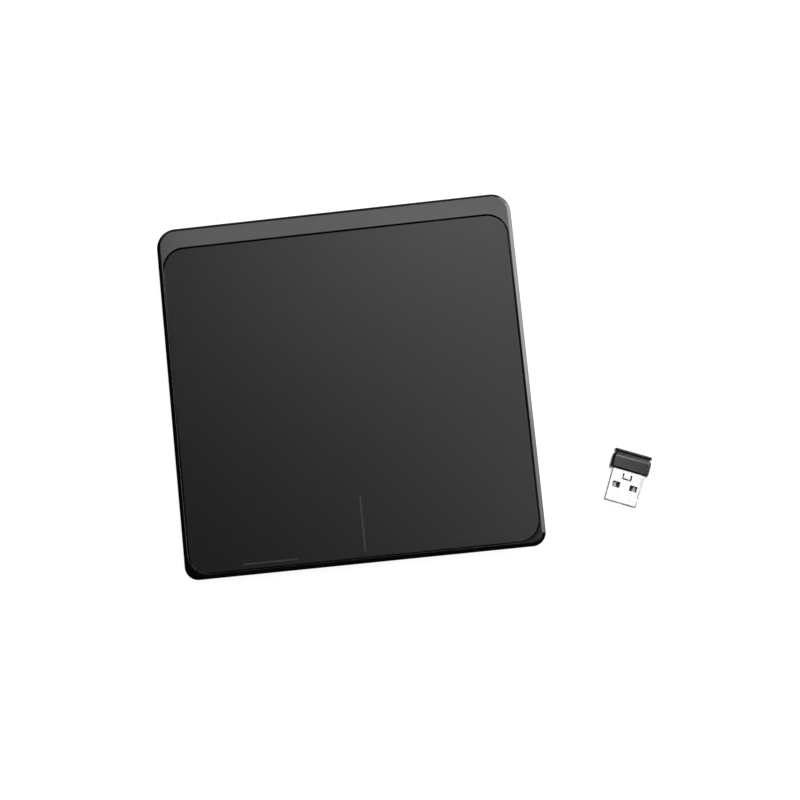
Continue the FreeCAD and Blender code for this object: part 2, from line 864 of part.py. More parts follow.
def screw_cuts(side):
    x = side * screw_x
    recess = upright(screw_head_radius + screw_head_gap, x, screw_y, foot_proud, screw_seat)
    return recess.fuse(upright(screw_radius + screw_clearance, x, screw_y, foot_proud, tube_top))


def pocket_walls():
    walls = (pocket_size[0] + 2 * thin_wall, pocket_size[1] + 2 * thin_wall, pocket_size[2] + thin_wall)
    return centred_block(pocket_place, walls, foot_proud)


def knob_cuts():
    """The recess and the slot for the power knob."""
    place = (power_x, power_y)
    depth = knob_recess[2]
    recess = round_post(place, knob_recess, depth, foot_proud, foot_proud + depth)
    slot = (knob_size[0] + power_travel + 2 * slot_gap, knob_size[1] + 2 * slot_gap, floor_thickness)
    return [recess, centred_block(place, slot, foot_proud)]


def bottom_case():
    """The lower housing, with all that it carries inside and the recesses of its underside."""
    tubes = both_sides(screw_tube)
    case = fused(case_shell(), *bay_solids(), *post_solids(), *clip_solids(), *tubes, pocket_walls())
    feet = [round_post(place, size, foot_corner, foot_proud, foot_proud + foot_sink)
            for place, size in foot_places()]
    label = round_post(label_place, label_size, label_corner, foot_proud, foot_proud + label_size[2])
    pocket = centred_block(pocket_place, pocket_size, foot_proud)
    slots = both_sides(lambda side: catch(side, slot_gap))
    return cut_out(case, *bay_cuts(), *knob_cuts(), *both_sides(screw_cuts), *feet, *slots, label, pocket)


def along_plug(half, height, corner, z0, near, far):
    """A round-cornered bar on z0, between two distances from the receiver's blunt end."""
    corner = min(corner, height / 2 - fit_gap)
    bar = rounded_slab(half, z0, z0 + height, corner, corner, near, far)
    bar.rotate(Vector(0, 0, 0), Vector(1, 0, 0), 90)
    return bar


def receiver_cap():
    """The cap's flange, neck and body, hollow for the shell and the small board."""
    neck_end = flange_length + neck_length
    flange = along_plug(cap_half - flange_inset, cap_height - 2 * flange_inset, cap_corner, flange_inset,
                        0, flange_length)
    flange = flange.makeFillet(cap_edge, [edge for edge in flange.Edges if edge.BoundBox.YLength < cap_edge])
    neck = along_plug(cap_half - neck_inset, cap_height - 2 * neck_inset, cap_corner, neck_inset,
                      flange_length / 2, neck_end + cap_edge)
    body = along_plug(cap_half, cap_height, cap_corner, 0, neck_end, cap_length)
    body = body.makeFillet(cap_edge, [edge for edge in body.Edges if edge.BoundBox.YLength < cap_edge])
    seat = along_plug(shell_half + shell_gap, shell_height + 2 * shell_gap, shell_corner + shell_gap,
                      shell_z - shell_gap, shell_seat - 2 * shell_gap, cap_length)
    room = along_plug(stick_half + fit_gap, shell_height - 2 * shell_wall, shell_wall, shell_z + shell_wall,
                      cap_end_wall, cap_length)
    return cut_out(fused(flange, neck, body), seat, room)


def shell_slots():
    """The shell's windows, on its top and its bottom, and the U-shaped cut in its top."""
    top = shell_z + shell_height
    slots = []
    for x in (-window_half_spread, window_half_spread):
        slots.append(centred_block((x, window_from_end - plug_length),
                                   (window_width, window_length, shell_height + 2 * shell_wall),
                                   shell_z - shell_wall))
    rear = cut_from_end - plug_length + cut_length / 2
    front = rear - cut_length
    half = cut_width / 2
    low = top - shell_wall - fit_gap
    high = top + shell_wall
    slots.append(block(-half, half, front, front + cut_line, low, high))
    slots.append(block(-half, -half + cut_line, front, rear, low, high))
    slots.append(block(half - cut_line, half, front, rear, low, high))
    return slots


def usb_shell():
    outer = along_plug(shell_half, shell_height, shell_corner, shell_z, shell_seat, plug_length)
    inner = along_plug(shell_half - shell_wall, shell_height - 2 * shell_wall, shell_corner - shell_wall,
                       shell_z + shell_wall, 0, plug_length + shell_wall)
    return cut_out(outer.cut(inner), *shell_slots())


def usb_tongue():
    """The plastic tongue that fills the lower half of the shell."""
    half = shell_half - shell_wall - tongue_gap
    bottom = shell_z + shell_wall
    tongue = block(-half, half, -plug_length + tongue_inset, -tongue_rear, bottom, bottom + tongue_height)
    corner = along_plug(half, shell_height, shell_corner - shell_wall, bottom, 0, plug_length)
    return tongue.common(corner)


def tongue_top():
    return shell_z + shell_wall + tongue_height


def usb_contacts():
    """Four strips on the tongue, whose tails lie on the small board."""
    strips = [block(x - strip_width / 2, x + strip_width / 2, -plug_length + tongue_inset + strip_front_inset,
                    -tongue_rear + strip_overlap, tongue_top(), tongue_top() + strip_thickness)
              for x in strip_spread]
    return Part.makeCompound(strips)


def receiver_board():
    """The small board behind the tongue, level with its top."""
    return block(-stick_half, stick_half, -tongue_rear, -cap_end_wall,
                 tongue_top() - stick_board_thickness, tongue_top())


def receiver_chip():
    middle = -(cap_end_wall + tongue_rear - strip_overlap) / 2
    return centred_block((0, middle), (stick_chip, stick_chip, stick_chip_height), tongue_top())


def by_the_pad(shape):
    """Puts a receiver piece beside the pad, turned so that its plug points to the front left."""
    placed = shape.copy()
    placed.rotate(Vector(0, 0, 0), Vector(0, 0, 1), -receiver_turn)
    placed.translate(Vector(receiver_x, receiver_y, 0))
    return placed


def all_nodes():
    nodes = {
        "top_cover": top_cover(),
        "touch_sheet": touch_sheet(),
        "sheet_adhesive": sheet_adhesive(),
        "sensor_board": sensor_board(),
        "sensor_socket": sensor_socket(),
        "carrier_plate": carrier_plate(),
        "hinge_pins": hinge_pins(),
        "bottom_case": bottom_case(),
        "main_board": main_board(),
        "radio_shield": radio_shield(),
        "controller_chip": controller_chip(),
        "board_parts": board_parts(),
        "board_socket": board_socket(),
        "ribbon_cable": ribbon_cable(),
        "switch_body_left": switch_body(-1),
        "switch_body_right": switch_body(1),
        "plunger_left": plunger(-1),
        "plunger_right": plunger(1),
        "power_switch_body": power_switch_body(),
        "power_knob": power_knob(),
        "battery_left": battery_cell(-cell_length),
        "battery_right": battery_cell(0),
        "negative_contact": negative_contact(),
        "positive_contact": positive_contact(),
        "battery_leads": battery_leads(),
        "battery_door": battery_door(),
        "rubber_feet": rubber_feet(),
        "case_screws": case_screws(),
    }
    receiver = {
        "receiver_cap": receiver_cap(),
        "usb_shell": usb_shell(),
        "usb_tongue": usb_tongue(),
        "usb_contacts": usb_contacts(),
        "receiver_board": receiver_board(),
        "receiver_chip": receiver_chip(),
    }
    nodes.update({name: by_the_pad(shape) for name, shape in receiver.items()})
    return nodes


def main():
    os.makedirs("parts", exist_ok=True)
    for name, shape in all_nodes().items():
        shape.translate(Vector(set_shift, 0, 0))
        shape.exportStep(f"parts/{name}.step")


main()
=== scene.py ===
from math import cos, pi, radians, sin

import bmesh
import bpy
from mathutils import Matrix, Vector


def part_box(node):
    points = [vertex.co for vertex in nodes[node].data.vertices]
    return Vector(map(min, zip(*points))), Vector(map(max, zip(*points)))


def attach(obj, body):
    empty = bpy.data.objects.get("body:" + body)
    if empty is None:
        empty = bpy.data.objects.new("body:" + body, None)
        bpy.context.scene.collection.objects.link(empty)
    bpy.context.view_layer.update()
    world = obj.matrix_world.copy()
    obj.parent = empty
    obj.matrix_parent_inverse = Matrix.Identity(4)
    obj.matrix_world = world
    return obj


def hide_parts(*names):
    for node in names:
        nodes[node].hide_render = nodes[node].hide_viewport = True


# The looks of a wireless touchpad and of the USB receiver that lies beside it.
# Lengths are in metres. MM turns the millimetres of a maker's drawing into them.
MM = 0.001
PER_MM = 1 / MM

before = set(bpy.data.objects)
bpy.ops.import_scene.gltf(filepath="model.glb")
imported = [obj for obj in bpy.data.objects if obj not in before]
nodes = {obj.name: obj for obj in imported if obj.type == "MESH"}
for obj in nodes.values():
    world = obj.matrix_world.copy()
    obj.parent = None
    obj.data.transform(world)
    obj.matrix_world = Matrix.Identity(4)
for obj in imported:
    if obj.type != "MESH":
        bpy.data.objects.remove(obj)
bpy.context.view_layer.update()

# The photograph's camera: almost straight above, turned a little to the right and rolled
SENSOR_WIDTH = 36.0
FOCAL_LENGTH = 63.0
LOOK_AT = Vector((-2.39, -7.25, 12.5)) * MM
CAMERA_DISTANCE = 500.6 * MM
CAMERA_ELEVATION = radians(79.96)
CAMERA_AZIMUTH = radians(12.15)
CAMERA_ROLL = radians(-17.97)

# The light. A strength of 1 is white. The backdrop is as white as the far end of the floor, so no horizon
# shows in low views. Mirrors see it in directions whose height is below BACKDROP_TOP.
ROOM_LIGHT = 0.03
BACKDROP_WHITE = 0.94
BACKDROP_TOP = 0.3
BACKDROP_FADE = 0.1
FLOOR_SIZE = 12.0
FLOOR_GLOW = 0.93

# Each softbox by its name, middle, width and height, and radiance. The first gives the touch surface its
# broad sheen, the second lights the strip at the back, and the next two fill the front and the receiver.
# The right ones draw the light edge of the right rail, and the last one carries it round the rear corner.
SOFTBOXES = (
    ("back_softbox", (0.235, 0.5, 1.2), (0.5, 0.22), 14.5),
    ("back_panel", (-0.065, 0.23, 1.2), (0.53, 0.18), 2.69),
    ("front_softbox", (0.25, -0.15, 1.2), (0.2, 0.2), 7.85),
    ("overhead_panel", (0.05, 0.1, 1.2), (0.2, 0.2), 1.23),
    ("right_panel", (1.0, 0.25, 0.84), (0.5, 1.0), 4.1),
    ("right_softbox", (1.0, 0.37, 0.84), (0.5, 0.76), 4.0),
    ("rear_right_panel", (0.76, 0.91, 0.66), (0.65, 0.65), 3.5),
)

# The receiver beside the pad. Its cap has a bead at the blunt end, then a neck, then the body.
RECEIVER_TURN = radians(-22.2)
CAP_LENGTH = 7.2 * MM
CAP_HALF = 7.1 * MM
CAP_HEIGHT = 6.3 * MM
CAP_CORNER = 1.5 * MM
CAP_END_WALL = 0.9 * MM
CAP_ROOM_HALF = 5.1 * MM
BEAD_INSET = 0.2 * MM
BEAD_LENGTH = 1.1 * MM
NECK_INSET = 0.65 * MM
NECK_END = 1.8 * MM
CAP_EDGE_DROP = 0.5 * MM
CAP_REAR_EDGE = 1.4 * MM
CAP_FRONT_EDGE = 0.8 * MM
PLUG_LENGTH = 18.7 * MM
SHELL_SEAT = 3.2 * MM
SHELL_HALF = 6.0 * MM
SHELL_HEIGHT = 4.5 * MM
SHELL_CORNER = 0.7 * MM
SHELL_WALL = 0.3 * MM
SHELL_GAP = 0.05 * MM
SHELL_EDGE = 0.07 * MM
SHELL_EDGE_ANGLE = radians(40)
WINDOW_SPREAD = 3.1 * MM
WINDOW_WIDTH = 2.6 * MM
WINDOW_LENGTH = 2.1 * MM
WINDOW_FROM_END = 5.95 * MM
CUT_WIDTH = 3.4 * MM
CUT_LENGTH = 2.1 * MM
CUT_LINE = 0.5 * MM
CUT_FROM_END = 9.3 * MM

# Corners, edges and gaps of the pad's top. REAR_RIM and FRONT_LIP are shares of the width on the sides.
FRONT_CORNER = 5.0 * MM
REAR_CORNER = 7.0 * MM
PLATE_CORNER = 7.4 * MM
GROOVE = 0.42 * MM
SHEET_THICKNESS = 0.8 * MM
SHEET_EDGE = 0.2 * MM
RIM_HEIGHT = 2.6 * MM
RIM_SLOPE = radians(25)
RIM_INNER_ROUND = 0.35 * MM
RIM_BEVEL = 1.22 * MM
REAR_RIM = 0.75
FRONT_LIP = 0.4
RIM_OUTER_ROUND = 0.25 * MM
FLAT_EDGE = 0.03 * MM
LIP_ROUND = 0.2 * MM
STEP_DROP = 1.5 * MM
DECK_THICKNESS = 1.8 * MM
SKIRT_INSET = 3.67 * MM
SKIRT_FACE = 2.95 * MM
SKIRT_DEPTH = 1.3 * MM
DECK_REAR_INSET = 3.7 * MM
SHARP = 0.05 * MM

# Guide lines on the touch surface. Their width, and each one's middle and size, are in millimetres.
GUIDE_PROUD = 0.02 * MM
GUIDE_SINK = 0.05 * MM
GUIDE_WIDTH = 0.5
MIDDLE_GUIDE = ((0.35, -49.7), (GUIDE_WIDTH, 20.2))
LEFT_GUIDE = ((-33.7, -59.85), (19.8, GUIDE_WIDTH))
RIGHT_GUIDE = ((42.8, -57.7), (20.4, GUIDE_WIDTH))

# The underside. Corners, places and sizes in the plane are in millimetres.
FOOT_CORNER = 1.5
LABEL_PLACE = (-20.0, 8.0)
LABEL_SIZE = (45.4, 23.4)
LABEL_CORNER = 1.8
LABEL_TOP = 0.9 * MM
LABEL_THICKNESS = 0.12 * MM

# Small rounds on the edges of the moulded parts
FOOT_EDGE = 0.25 * MM
CASE_EDGE = 0.15 * MM
DOOR_EDGE = 0.12 * MM
KNOB_EDGE = 0.08 * MM
EDGE_ANGLE = radians(50)
EDGE_STEPS = 2

# Patterns of the finishes, in millimetres. Real tracks lie about half as far apart, too close to show.
TRACK_PITCH = 0.8
TRACK_AREA = 9.0
TRACK_RELIEF = 0.03
CONDUCTOR_PITCH = 1.0
CONDUCTOR_RELIEF = 0.03
VIA_SPACING = 3.2
VIA_RADIUS = 0.35
PART_SPACING = 4.5
CELL_LENGTH = 44.5

# Where the black band of a cell ends and its bare nub starts, as shares of its length
CELL_BAND = 0.8
CELL_NUB = 0.975

# The printed guide lines turn from pale grey to dark grey between these places across the pad
PRINT_DARKENS_FROM = -10.0 * MM
PRINT_DARKENS_TO = 10.0 * MM

# Noise keeps mostly between these two values. Tracks fill the board where it is high.
NOISE_LOW = 0.3
NOISE_HIGH = 0.7
NO_TRACKS = -2.0
ALL_TRACKS = 3.0
STRIPE_EDGE = 0.4

# How finely round shapes are drawn, and what counts as one point, one face and a smooth edge
ARC_STEPS = 12
ROUND_STEPS = 6
WELD = 0.001 * MM
ONE_FACE_ANGLE = radians(1)
SMOOTH_ANGLE = radians(35)


def linear(hex_code):
    """An sRGB hex colour as linear red, green, blue and alpha."""
    channels = []
    for start in (0, 2, 4):
        value = int(hex_code[start:start + 2], 16) / 255
        channels.append(value / 12.92 if value <= 0.04045 else ((value + 0.055) / 1.055) ** 2.4)
    return (*channels, 1.0)


def add_node(tree, kind, inputs=None, **settings):
    """Adds a node with its settings. Inputs are values, or sockets of other nodes to link."""
    made = tree.nodes.new(kind)
    for name, value in settings.items():
        setattr(made, name, value)
    for name, value in (inputs or {}).items():
        if isinstance(value, bpy.types.NodeSocket):
            tree.links.new(value, made.inputs[name])
        else:
            made.inputs[name].default_value = value
    return made


# Camera, light and floor


def sky(azimuth, elevation):
    """The direction of a place in the sky. Azimuth 0 is before the pad, and a positive one to its right."""
    level = cos(elevation)
    return Vector((sin(azimuth) * level, -cos(azimuth) * level, sin(elevation)))


def link(thing):
    """Puts an object in the scene."""
    bpy.context.scene.collection.objects.link(thing)
    return thing


def add_camera():
    """The photograph's camera. Across and upwards are the sides of its picture after the roll."""
    back = sky(CAMERA_AZIMUTH, CAMERA_ELEVATION)
    right = Vector((0, 0, 1)).cross(back).normalized()
    up = back.cross(right)
    across = cos(CAMERA_ROLL) * right + sin(CAMERA_ROLL) * up
    upwards = cos(CAMERA_ROLL) * up - sin(CAMERA_ROLL) * right
    data = bpy.data.cameras.new("photo_camera")
    data.sensor_width = SENSOR_WIDTH
    data.lens = FOCAL_LENGTH
    camera = link(bpy.data.objects.new("photo_camera", data))
    turn = Matrix((across, upwards, back)).transposed().to_4x4()
    camera.matrix_world = Matrix.Translation(LOOK_AT + CAMERA_DISTANCE * back) @ turn
    bpy.context.scene.camera = camera


def add_softbox(name, place, size, radiance):
    """A softbox that faces the pad. It shows in a mirror as bright as its radiance says, where 1 is white."""
    data = bpy.data.lights.new(name, "AREA")
    data.shape = "RECTANGLE"
    data.size, data.size_y = size
    data.energy = radiance * size[0] * size[1] * pi
    back = Vector(place).normalized()
    right = Vector((0, 1, 0)).cross(back).normalized()
    turn = Matrix((right, back.cross(right), back)).transposed().to_4x4()
    box = link(bpy.data.objects.new(name, data))
    box.matrix_world = Matrix.Translation(place) @ turn


def looked_at(tree):
    """Two sockets: 1 for rays from the camera, and 1 for rays off a glossy surface or through glass."""
    path = add_node(tree, "ShaderNodeLightPath").outputs
    mirrored = add_node(tree, "ShaderNodeMath", {0: path["Is Glossy Ray"], 1: path["Is Transmission Ray"]},
                        operation="MAXIMUM")
    return path["Is Camera Ray"], mirrored.outputs[0]


def add_world():
    """A dim room. The camera sees it white, and so do mirrors, as far up as the backdrop reaches."""
    world = bpy.data.worlds.new("studio_room")
    bpy.context.scene.world = world
    world.use_nodes = True
    tree = world.node_tree
    tree.nodes.clear()
    camera, mirrored = looked_at(tree)
    direction = add_node(tree, "ShaderNodeTexCoord").outputs["Generated"]
    height = add_node(tree, "ShaderNodeSeparateXYZ", {0: direction}).outputs["Z"]
    backdrop = add_node(tree, "ShaderNodeMapRange",
                        {0: height, 1: BACKDROP_TOP, 2: BACKDROP_TOP - BACKDROP_FADE})
    low = add_node(tree, "ShaderNodeMath", {0: mirrored, 1: backdrop.outputs[0]}, operation="MULTIPLY")
    seen = add_node(tree, "ShaderNodeMath", {0: camera, 1: low.outputs[0]}, operation="MAXIMUM")
    room = add_node(tree, "ShaderNodeBackground", {"Color": linear("ffffff"), "Strength": ROOM_LIGHT})
    white = add_node(tree, "ShaderNodeBackground", {"Color": linear("ffffff"), "Strength": BACKDROP_WHITE})
    mix = add_node(tree, "ShaderNodeMixShader", {0: seen.outputs[0], 1: room.outputs[0], 2: white.outputs[0]})
    add_node(tree, "ShaderNodeOutputWorld", {"Surface": mix.outputs[0]})


def floor_material():
    """White seamless paper. It glows for the eye and for mirrors, and its own grey keeps the shadow."""
    material = bpy.data.materials.new("white_seamless_paper")
    material.use_nodes = True
    tree = material.node_tree
    tree.nodes.clear()
    camera, mirrored = looked_at(tree)
    seen = add_node(tree, "ShaderNodeMath", {0: camera, 1: mirrored}, operation="MAXIMUM")
    glow = add_node(tree, "ShaderNodeMath", {0: seen.outputs[0], 1: FLOOR_GLOW}, operation="MULTIPLY")
    paper = add_node(tree, "ShaderNodeBsdfDiffuse", {"Color": linear("8c8c8c")})
    light = add_node(tree, "ShaderNodeEmission", {"Color": linear("ffffff"), "Strength": glow.outputs[0]})
    both = add_node(tree, "ShaderNodeAddShader", {0: paper.outputs[0], 1: light.outputs[0]})
    add_node(tree, "ShaderNodeOutputMaterial", {"Surface": both.outputs[0]})
    return material


def add_floor():
    """A square of paper on the desk."""
    mesh = bpy.data.meshes.new("paper_floor")
    half = FLOOR_SIZE / 2
    corners = [(-half, -half, 0), (half, -half, 0), (half, half, 0), (-half, half, 0)]
    mesh.from_pydata(corners, [], [(0, 1, 2, 3)])
    mesh.materials.append(floor_material())
    link(bpy.data.objects.new("paper_floor", mesh))


# Finishes. The grain of an etched, satin or anodised surface is some hundredths of a millimetre wide, too
# fine to show in a render, so it is drawn a tenth to a third of a millimetre wide.


def new_finish(name):
    """An empty material, its node tree and the coordinates of the piece in metres."""
    material = bpy.data.materials.new(name)
    material.use_nodes = True
    tree = material.node_tree
    tree.nodes.clear()
    place = add_node(tree, "ShaderNodeTexCoord").outputs["Object"]
    return material, tree, place


def grain(tree, place, size, detail=2.0, stretch=(1, 1, 1)):
    """Noise between 0 and 1 whose lumps are about as large as size says, in millimetres."""
    mapped = add_node(tree, "ShaderNodeMapping", {"Vector": place, "Scale": stretch})
    noise = add_node(tree, "ShaderNodeTexNoise", {"Vector": mapped.outputs[0], "Scale": PER_MM / size,
                                                  "Detail": detail})
    return noise.outputs["Fac"]


def spread(tree, value, low, high):
    """Stretches noise, which keeps near one half, over a range of values."""
    ranged = add_node(tree, "ShaderNodeMapRange", {0: value, 1: NOISE_LOW, 2: NOISE_HIGH, 3: low, 4: high})
    return ranged.outputs[0]


def bump(tree, height, depth):
    """Relief from a height between 0 and 1 that is depth millimetres deep."""
    inputs = {"Height": height, "Distance": depth * MM, "Strength": 1.0}
    return add_node(tree, "ShaderNodeBump", inputs).outputs[0]


def tint(tree, value, dark, light):
    """A colour between two hex colours."""
    mix = add_node(tree, "ShaderNodeMix", {0: value, 6: linear(dark), 7: linear(light)}, data_type="RGBA")
    return mix.outputs[2]


def finish(material, tree, inputs):
    """Ends a material with one shader that has these inputs."""
    shader = add_node(tree, "ShaderNodeBsdfPrincipled", inputs)
    add_node(tree, "ShaderNodeOutputMaterial", {"Surface": shader.outputs[0]})
    return material


def moulded(name, colours, roughness, lump, relief, ior=1.5):
    """A moulded surface whose colour, gloss and relief follow one grain. Lump and relief are millimetres."""
    material, tree, place = new_finish(name)
    skin = grain(tree, place, lump, 3.0)
    return finish(material, tree, {
        "Base Color": tint(tree, spread(tree, skin, 0, 1), *colours),
        "Roughness": spread(tree, skin, *roughness),
        "IOR": ior,
        "Normal": bump(tree, skin, relief),
    })


def metal(name, colours, roughness, lump, stretch=(1, 1, 1)):
    """Bare metal. Its grain is as fine as lump says, in millimetres, and stretch draws it out into lines."""
    material, tree, place = new_finish(name)
    lines = grain(tree, place, lump, 2.0, stretch)
    return finish(material, tree, {
        "Base Color": tint(tree, spread(tree, lines, 0, 1), *colours),
        "Metallic": 1.0,
        "Roughness": spread(tree, lines, *roughness),
    })


def cover_plastic():
    """Black ABS from a polished mould. The eye gets soft mirror images over a faint orange peel."""
    return moulded("polished_black_abs", ("020202", "050505"), roughness=(0.11, 0.13),
                   lump=1.6, relief=0.003, ior=1.52)


def touch_glass():
    """Etched glass over black print. The eye gets a broad, even sheen with a fine sparkle."""
    return moulded("etched_black_glass", ("050505", "080808"), roughness=(0.36, 0.38),
                   lump=0.3, relief=0.003)


def cap_plastic():
    """Black ABS from a satin mould. The eye gets a soft grey sheen on the flat top."""
    return moulded("satin_black_abs", ("060606", "0b0b0b"), roughness=(0.26, 0.3),
                   lump=0.3, relief=0.003, ior=1.52)


def case_plastic():
    """Black ABS from a spark-eroded mould. The eye gets a fine, even, dull grain."""
    return moulded("spark_eroded_black_abs", ("0c0c0d", "171718"), roughness=(0.42, 0.56),
                   lump=0.32, relief=0.02)


def foot_rubber():
    """Black silicone rubber from a matt mould. The eye gets a dull, dry surface without mirror images."""
    return moulded("black_silicone_rubber", ("121212", "1c1c1c"), roughness=(0.7, 0.85),
                   lump=0.4, relief=0.012, ior=1.41)


def knob_plastic():
    """Grey ABS from a satin mould. The eye gets a pale part that stands out from the black case."""
    return moulded("satin_grey_abs", ("7d7f82", "8b8d90"), roughness=(0.35, 0.45),
                   lump=0.25, relief=0.006)


def chip_plastic():
    """Black epoxy moulding compound. The eye gets a dull charcoal with fine filler."""
    return moulded("black_epoxy_compound", ("17171a", "242427"), roughness=(0.5, 0.65),
                   lump=0.15, relief=0.004, ior=1.55)


def socket_plastic():
    """Ivory nylon, moulded. The eye gets a warm white with a soft gloss."""
    return moulded("ivory_nylon", ("d9cfb6", "e3dac4"), roughness=(0.3, 0.42),
                   lump=0.3, relief=0.003, ior=1.53)


def plunger_plastic():
    """Natural nylon, moulded. The eye gets a milky off-white."""
    return moulded("natural_nylon", ("cfccc0", "dbd8cd"), roughness=(0.35, 0.45),
                   lump=0.25, relief=0.003, ior=1.53)


def tongue_plastic():
    """Black liquid crystal polymer. The eye gets a deep, slightly streaked black."""
    return moulded("black_connector_polymer", ("060606", "101010"), roughness=(0.4, 0.55),
                   lump=0.5, relief=0.004, ior=1.6)


def adhesive_film():
    """Black acrylic foam tape. The eye gets a dull dark layer at the edge of the stack."""
    return moulded("black_acrylic_tape", ("101011", "161617"), roughness=(0.5, 0.6),
                   lump=0.8, relief=0.004, ior=1.48)


def carrier_metal_and_groove_shade():
    """Black anodised aluminium, whose black is also painted shade for the groove round the touch surface,
    where the arms show through. The eye gets an even satin black with a fine metal grain.
    """
    return moulded("black_aluminium_and_painted_groove_shade", ("0a0a0c", "131316"), roughness=(0.38, 0.5),
                   lump=0.12, relief=0.003, ior=1.6)


def label_film():
    """Blank polyester label. The eye gets a smooth dark grey sheet with a soft gloss."""
    return moulded("blank_polyester_label", ("34363a", "3a3c40"), roughness=(0.32, 0.4),
                   lump=1.2, relief=0.002, ior=1.57)


def pin_steel():
    """Ground bearing steel. The eye gets fine rings round the pin."""
    return metal("ground_steel", ("9a9a9c", "b4b4b6"), roughness=(0.18, 0.3),
                 lump=0.08, stretch=(0.05, 1, 1))


def shield_steel():
    """Tinned steel sheet. The eye gets a pale, slightly cloudy metal."""
    return metal("tinned_steel_sheet", ("b3b3b0", "c8c8c6"), roughness=(0.24, 0.42), lump=1.5)


def contact_steel():
    """Nickel-plated spring steel. The eye gets a bright metal with faint rolling lines."""
    return metal("nickel_plated_spring_steel", ("bdbbb6", "cfcdc8"), roughness=(0.16, 0.28),
                 lump=0.1, stretch=(1, 1, 0.05))


def screw_steel():
    """Black zinc-plated steel. The eye gets a dark metal with a dim gloss."""
    return metal("black_zinc_plated_steel", ("2c2c2f", "3b3b3e"), roughness=(0.3, 0.45), lump=0.2)


def plug_steel():
    """Nickel-plated steel, stamped and folded. The eye gets a bright, soft mirror with faint lines."""
    return metal("nickel_plated_steel", ("dcdcda", "e4e4e2"), roughness=(0.25, 0.3),
                 lump=0.12, stretch=(1, 0.06, 1))


def contact_plating():
    """Palladium-nickel over copper. The eye gets bright, neutral strips inside the plug."""
    return metal("palladium_nickel_plating", ("c9c9c6", "d4d4d1"), roughness=(0.14, 0.22),
                 lump=0.1, stretch=(1, 0.1, 1))


def stripes(tree, place, axis, pitch):
    """Even stripes across an axis, from 0 to 1, with soft edges. Pitch is in millimetres."""
    along = add_node(tree, "ShaderNodeSeparateXYZ", {0: place}).outputs[axis]
    turns = add_node(tree, "ShaderNodeMath", {0: along, 1: 2 * pi * PER_MM / pitch}, operation="MULTIPLY")
    wave = add_node(tree, "ShaderNodeMath", {0: turns.outputs[0]}, operation="SINE")
    band = add_node(tree, "ShaderNodeMapRange", {0: wave.outputs[0], 1: -STRIPE_EDGE, 2: STRIPE_EDGE})
    return band.outputs[0]


def circuit_board():
    """Glass-epoxy board under green solder mask. The eye gets tracks, bare ground and tinned holes."""
    material, tree, place = new_finish("green_solder_mask")
    routed = spread(tree, grain(tree, place, TRACK_AREA, detail=0.0), NO_TRACKS, ALL_TRACKS)
    tracks = add_node(tree, "ShaderNodeMath", {0: stripes(tree, place, "X", TRACK_PITCH), 1: routed},
                      operation="MULTIPLY", use_clamp=True)
    mask = tint(tree, tracks.outputs[0], "0b3d22", "15592f")
    cells = add_node(tree, "ShaderNodeTexVoronoi", {"Vector": place, "Scale": PER_MM / VIA_SPACING})
    via = add_node(tree, "ShaderNodeMath", {0: cells.outputs["Distance"], 1: VIA_RADIUS / VIA_SPACING},
                   operation="LESS_THAN")
    colour = add_node(tree, "ShaderNodeMix", {0: via.outputs[0], 6: mask, 7: linear("b9b9b4")},
                      data_type="RGBA")
    return finish(material, tree, {
        "Base Color": colour.outputs[2],
        "Metallic": via.outputs[0],
        "Roughness": spread(tree, grain(tree, place, 1.0), 0.22, 0.34),
        "IOR": 1.5,
        "Normal": bump(tree, tracks.outputs[0], TRACK_RELIEF),
    })


def ribbon_film():
    """White polyester film over flat conductors. The eye gets fine grey stripes along the cable."""
    material, tree, place = new_finish("white_polyester_ribbon")
    conductors = stripes(tree, place, "X", CONDUCTOR_PITCH)
    return finish(material, tree, {
        "Base Color": tint(tree, conductors, "dededa", "b9bcbd"),
        "Roughness": spread(tree, grain(tree, place, 0.8), 0.3, 0.4),
        "IOR": 1.57,
        "Normal": bump(tree, conductors, CONDUCTOR_RELIEF),
    })


def small_parts():
    """Ceramic capacitors, a crystal can and a ferrite coil. The eye gets tan, grey and brown blocks."""
    material, tree, place = new_finish("ceramic_and_ferrite")
    kinds = add_node(tree, "ShaderNodeTexVoronoi", {"Vector": place, "Scale": PER_MM / PART_SPACING})
    hue = add_node(tree, "ShaderNodeSeparateColor", {0: kinds.outputs["Color"]}).outputs[0]
    skin = grain(tree, place, 0.3)
    return finish(material, tree, {
        "Base Color": tint(tree, hue, "4a4340", "b09a78"),
        "Roughness": spread(tree, skin, 0.35, 0.55),
        "Normal": bump(tree, skin, 0.006),
    })


def cell_sleeve():
    """Printed sleeve round a steel can. The eye gets plain black and silver bands and a bare metal nub."""
    material, tree, place = new_finish("printed_cell_sleeve")
    low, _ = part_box("battery_left")
    along = add_node(tree, "ShaderNodeSeparateXYZ", {0: place}).outputs["X"]
    from_end = add_node(tree, "ShaderNodeMath", {0: along, 1: low.x}, operation="SUBTRACT")
    part = add_node(tree, "ShaderNodeMath", {0: from_end.outputs[0], 1: CELL_LENGTH * MM}, operation="DIVIDE")
    part = add_node(tree, "ShaderNodeMath", {0: part.outputs[0]}, operation="FRACT")
    band = add_node(tree, "ShaderNodeMath", {0: part.outputs[0], 1: CELL_BAND}, operation="LESS_THAN")
    nub = add_node(tree, "ShaderNodeMath", {0: part.outputs[0], 1: CELL_NUB}, operation="GREATER_THAN")
    print_colour = tint(tree, band.outputs[0], "9fa3a8", "1b1c1f")
    colour = add_node(tree, "ShaderNodeMix", {0: nub.outputs[0], 6: print_colour, 7: linear("c4c3bf")},
                      data_type="RGBA")
    return finish(material, tree, {
        "Base Color": colour.outputs[2],
        "Metallic": nub.outputs[0],
        "Roughness": spread(tree, grain(tree, place, 1.5), 0.22, 0.32),
        "IOR": 1.5,
    })


